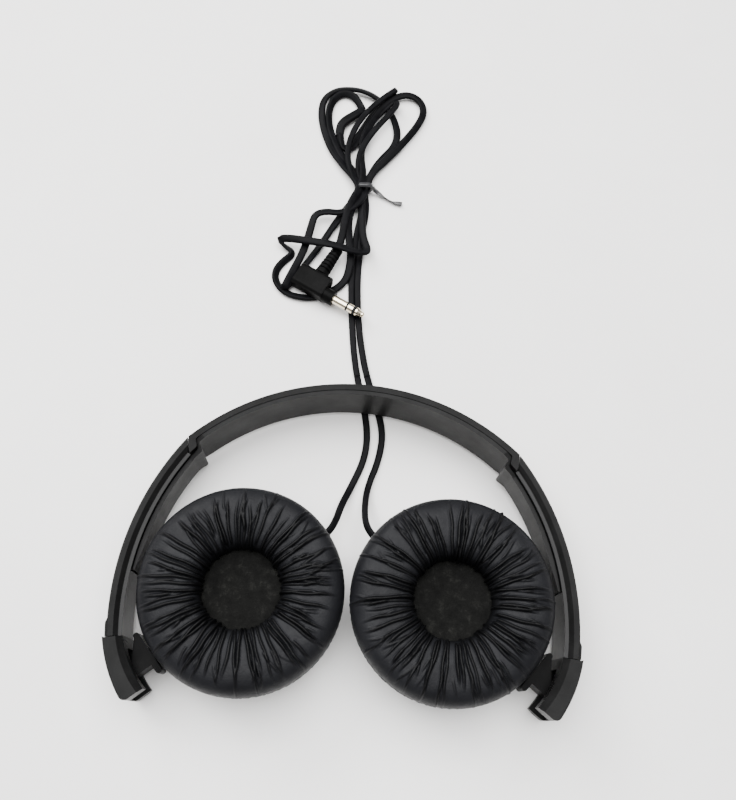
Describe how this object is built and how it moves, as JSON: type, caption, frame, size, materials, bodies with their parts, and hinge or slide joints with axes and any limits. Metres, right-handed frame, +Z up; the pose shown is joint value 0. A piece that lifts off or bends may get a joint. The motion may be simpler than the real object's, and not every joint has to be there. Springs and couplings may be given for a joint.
{
  "type": "folding on-ear headphones",
  "caption": "Corded on-ear headphones folded into their own headband, with swivelling padded cups and the cord tied in a hank.",
  "frame": {"origin": "middle of the headphones' footprint, on the surface the cups lie on, cord left out", "axes": "+X across the two cups, +Y from the cups to the headband's crown, +Z up from the cups' backs to the pads"},
  "size_m": [0.1574, 0.26, 0.031],
  "materials": {
    "black_plastic": "satin",
    "black_gloss": "gloss",
    "grey_liner": "satin",
    "steel": "satin",
    "dark_plastic": "matte",
    "leatherette": "soft, satin",
    "felt": "matte",
    "magnet": "satin",
    "copper": "satin",
    "film": "gloss",
    "board": "satin",
    "cord_rubber": "satin",
    "plated": "polished",
    "tie_plastic": "gloss"
  },
  "bodies": {
    "headband": {"headband_shell": "black_plastic", "headband_liner": "grey_liner", "headband_spring": "steel", "detent_beads": "steel", "cord_left": "cord_rubber", "cord_right": "cord_rubber", "hank": "cord_rubber", "plug_body": "cord_rubber", "plug_relief": "cord_rubber", "plug_sleeve": "plated", "plug_ring": "plated", "plug_insulators": "dark_plastic", "plug_tip": "plated", "twist_tie": "tie_plastic"},
    "slider_left": {"arm_cover_left": "black_plastic", "arm_plate_left": "black_gloss", "arm_strip_left": "steel", "tail_left": "black_plastic", "fold_pin_left": "steel"},
    "hanger_left": {"hanger_left": "black_plastic", "swivel_clip_left": "steel"},
    "cup_left": {"housing_left": "black_plastic", "housing_disc_left": "black_gloss", "baffle_left": "dark_plastic", "housing_screws_left": "steel", "ear_pad_left": "leatherette", "felt_disc_left": "felt", "driver_frame_left": "dark_plastic", "magnet_cup_left": "steel", "magnet_left": "magnet", "pole_plate_left": "steel", "voice_coil_left": "copper", "diaphragm_left": "film", "terminal_board_left": "board", "strain_relief_left": "cord_rubber"},
    "slider_right": {"arm_cover_right": "black_plastic", "arm_plate_right": "black_gloss", "arm_strip_right": "steel", "tail_right": "black_plastic", "fold_pin_right": "steel"},
    "hanger_right": {"hanger_right": "black_plastic", "swivel_clip_right": "steel"},
    "cup_right": {"housing_right": "black_plastic", "housing_disc_right": "black_gloss", "baffle_right": "dark_plastic", "housing_screws_right": "steel", "ear_pad_right": "leatherette", "felt_disc_right": "felt", "driver_frame_right": "dark_plastic", "magnet_cup_right": "steel", "magnet_right": "magnet", "pole_plate_right": "steel", "voice_coil_right": "copper", "diaphragm_right": "film", "terminal_board_right": "board", "strain_relief_right": "cord_rubber"}
  },
  "joints": [
    {"name": "slide_right", "type": "hinge", "parent": "headband", "child": "slider_right", "pos_m": [-0.0165, -0.02473, 0.0135], "axis": [0, 0, -1], "range_deg": [0, 13.7]},
    {"name": "fold_right", "type": "hinge", "parent": "slider_right", "child": "hanger_right", "pos_m": [0.0707, -0.04843, 0.012], "axis": [0, 0, 1], "range_deg": [0, 98], "deforming": ["ear_pad_left", "ear_pad_right"]},
    {"name": "swivel_right", "type": "hinge", "parent": "hanger_right", "child": "cup_right", "pos_m": [0.03525, -0.01923, 0.012], "axis": [-0.7718, 0.6358, 0], "range_deg": [0, 90]},
    {"name": "slide_left", "type": "hinge", "parent": "headband", "child": "slider_left", "pos_m": [0.0165, -0.02473, 0.0135], "axis": [0, 0, 1], "range_deg": [0, 13.7]},
    {"name": "fold_left", "type": "hinge", "parent": "slider_left", "child": "hanger_left", "pos_m": [-0.0707, -0.04843, 0.012], "axis": [0, 0, -1], "range_deg": [0, 98], "deforming": ["ear_pad_left", "ear_pad_right"]},
    {"name": "swivel_left", "type": "hinge", "parent": "hanger_left", "child": "cup_left", "pos_m": [-0.03525, -0.01923, 0.012], "axis": [-0.7718, -0.6358, 0], "range_deg": [0, 90]}
  ]
}
